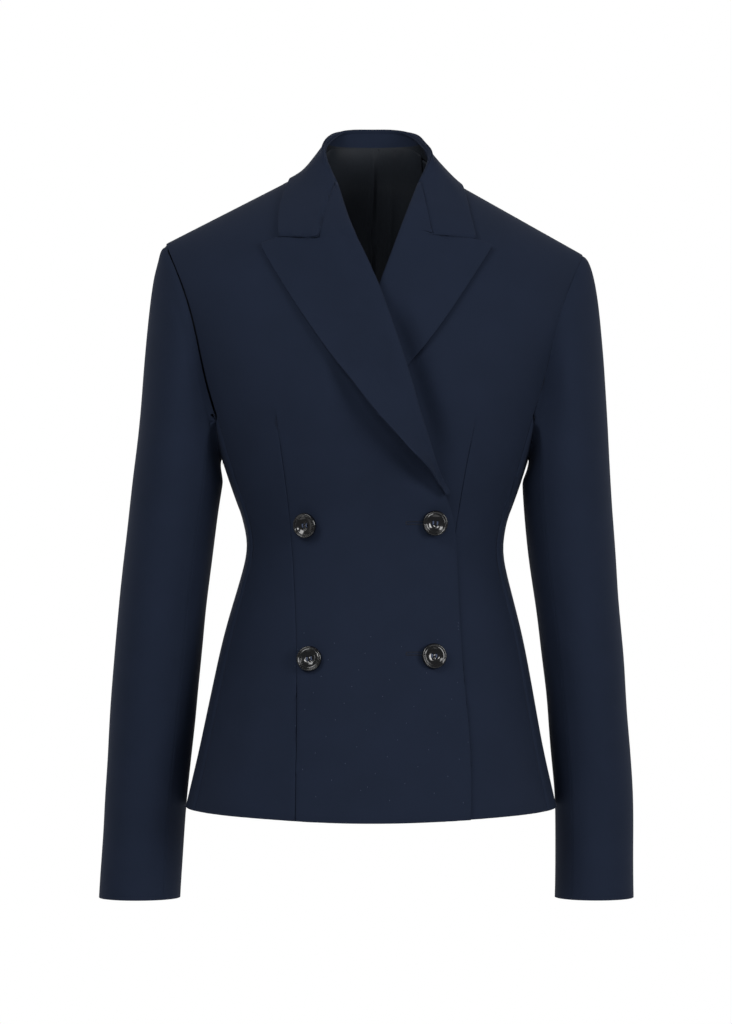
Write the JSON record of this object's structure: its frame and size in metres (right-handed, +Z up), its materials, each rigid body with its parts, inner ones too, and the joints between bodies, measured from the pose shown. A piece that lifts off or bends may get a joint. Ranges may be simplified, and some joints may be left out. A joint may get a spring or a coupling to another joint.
{
  "type": "double breasted blazer",
  "caption": "Women's double breasted blazer, filled out as worn, with peaked lapels, a standing collar, a nipped waist, a flared skirt and long sleeves.",
  "frame": {"origin": "middle of the shoulders at the base of the neck, where the wearer holds the blazer up", "axes": "+Z up along the body, -Y out of the front, +X to the wearer's left"},
  "size_m": [0.5082, 0.2659, 0.7355],
  "materials": {
    "wool": "matte navy worsted wool twill",
    "lining": "smooth dark navy satin lining",
    "button": "polished near-black horn-look"
  },
  "bodies": {
    "root": {"front_right": "wool", "front_left": "wool", "side_right": "wool", "side_left": "wool", "back_right": "wool", "back_left": "wool", "lapel_right": "wool", "lapel_left": "wool", "collar": "wool", "sleeve_right_top": "wool", "sleeve_right_under": "wool", "sleeve_left_top": "wool", "sleeve_left_under": "wool", "back_lining": "lining", "button_top_right": "button", "button_top_left": "button", "button_low_right": "button", "button_low_left": "button"}
  },
  "joints": []
}
